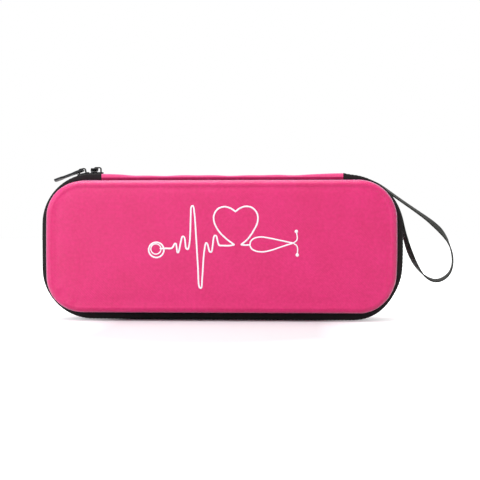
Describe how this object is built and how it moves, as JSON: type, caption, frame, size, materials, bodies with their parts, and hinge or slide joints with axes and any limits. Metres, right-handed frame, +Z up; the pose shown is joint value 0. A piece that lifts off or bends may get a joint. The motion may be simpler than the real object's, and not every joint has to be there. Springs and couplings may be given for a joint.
{
  "type": "stethoscope hard case",
  "caption": "Zipped semi-rigid case: two moulded fabric-covered foam trays on a fabric hinge, closed by a zipper with sliders and a wrist strap.",
  "frame": {"origin": "middle of the long zipper edge that the case stands on, at floor level", "axes": "X along the length, -Y is the lid's face, +Z up towards the fabric hinge"},
  "size_m": [0.3306, 0.0551, 0.1215],
  "materials": {
    "pink_fabric": "woven nylon, soft sheen",
    "foam": "moulded closed-cell foam, matt",
    "lining_fabric": "brushed knit",
    "edging_fabric": "black woven binding",
    "zipper_tape": "black woven tape",
    "zipper_coil": "black nylon coil",
    "black_metal": "gloss black lacquer",
    "strap_ribbon": "dark ribbed ribbon",
    "elastic": "ribbed elastic",
    "net": "open knitted net",
    "thread": "polyester thread",
    "ink": "matt screen print"
  },
  "bodies": {
    "base": {"rear_cover": "pink_fabric", "rear_shell": "foam", "rear_lining": "lining_fabric", "rear_rim_binding": "edging_fabric", "rear_edge_binding": "edging_fabric", "rear_zipper_tape": "zipper_tape", "rear_zipper_coil": "zipper_coil", "rear_spine": "pink_fabric", "rear_hinge_liner": "lining_fabric", "zipper_end_section": "zipper_tape", "end_stop_left": "zipper_coil", "end_stop_right": "zipper_coil", "wrist_strap": "strap_ribbon", "strap_tack": "thread", "retaining_band_left": "elastic", "retaining_band_right": "elastic", "band_end_tabs": "edging_fabric"},
    "lid": {"front_cover": "pink_fabric", "front_shell": "foam", "front_lining": "lining_fabric", "front_rim_binding": "edging_fabric", "front_edge_binding": "edging_fabric", "front_zipper_tape": "zipper_tape", "front_zipper_coil": "zipper_coil", "front_spine": "pink_fabric", "front_hinge_liner": "lining_fabric", "pocket_net": "net", "pocket_hem": "elastic", "lid_print": "ink"},
    "slider_a": {"slider_a_body": "black_metal", "slider_a_bridge": "black_metal"},
    "pull_a": {"slider_a_pull": "black_metal"},
    "slider_b": {"slider_b_body": "black_metal", "slider_b_bridge": "black_metal"},
    "pull_b": {"slider_b_pull": "black_metal"}
  },
  "joints": [
    {"name": "lid_hinge", "type": "hinge", "parent": "base", "child": "lid", "pos_m": [0, 0, 0.1163], "axis": [-1, 0, 0], "range_deg": [0, 150]},
    {"name": "slider_a_travel", "type": "hinge", "parent": "base", "child": "slider_a", "pos_m": [-0.10388, 0, 0.076], "axis": [0, -1, 0], "range_deg": [0, 68]},
    {"name": "pull_a_swing", "type": "hinge", "parent": "slider_a", "child": "pull_a", "pos_m": [-0.1136, 0, 0.11882], "axis": [0, 1, 0], "range_deg": [0, 110]},
    {"name": "slider_b_travel", "type": "slide", "parent": "base", "child": "slider_b", "axis": [-1, 0, 0], "range_m": [0, 0.0008]},
    {"name": "pull_b_swing", "type": "hinge", "parent": "slider_b", "child": "pull_b", "pos_m": [-0.10331, 0, 0.1195], "axis": [0, 0, 1], "range_deg": [-55, 0]}
  ]
}
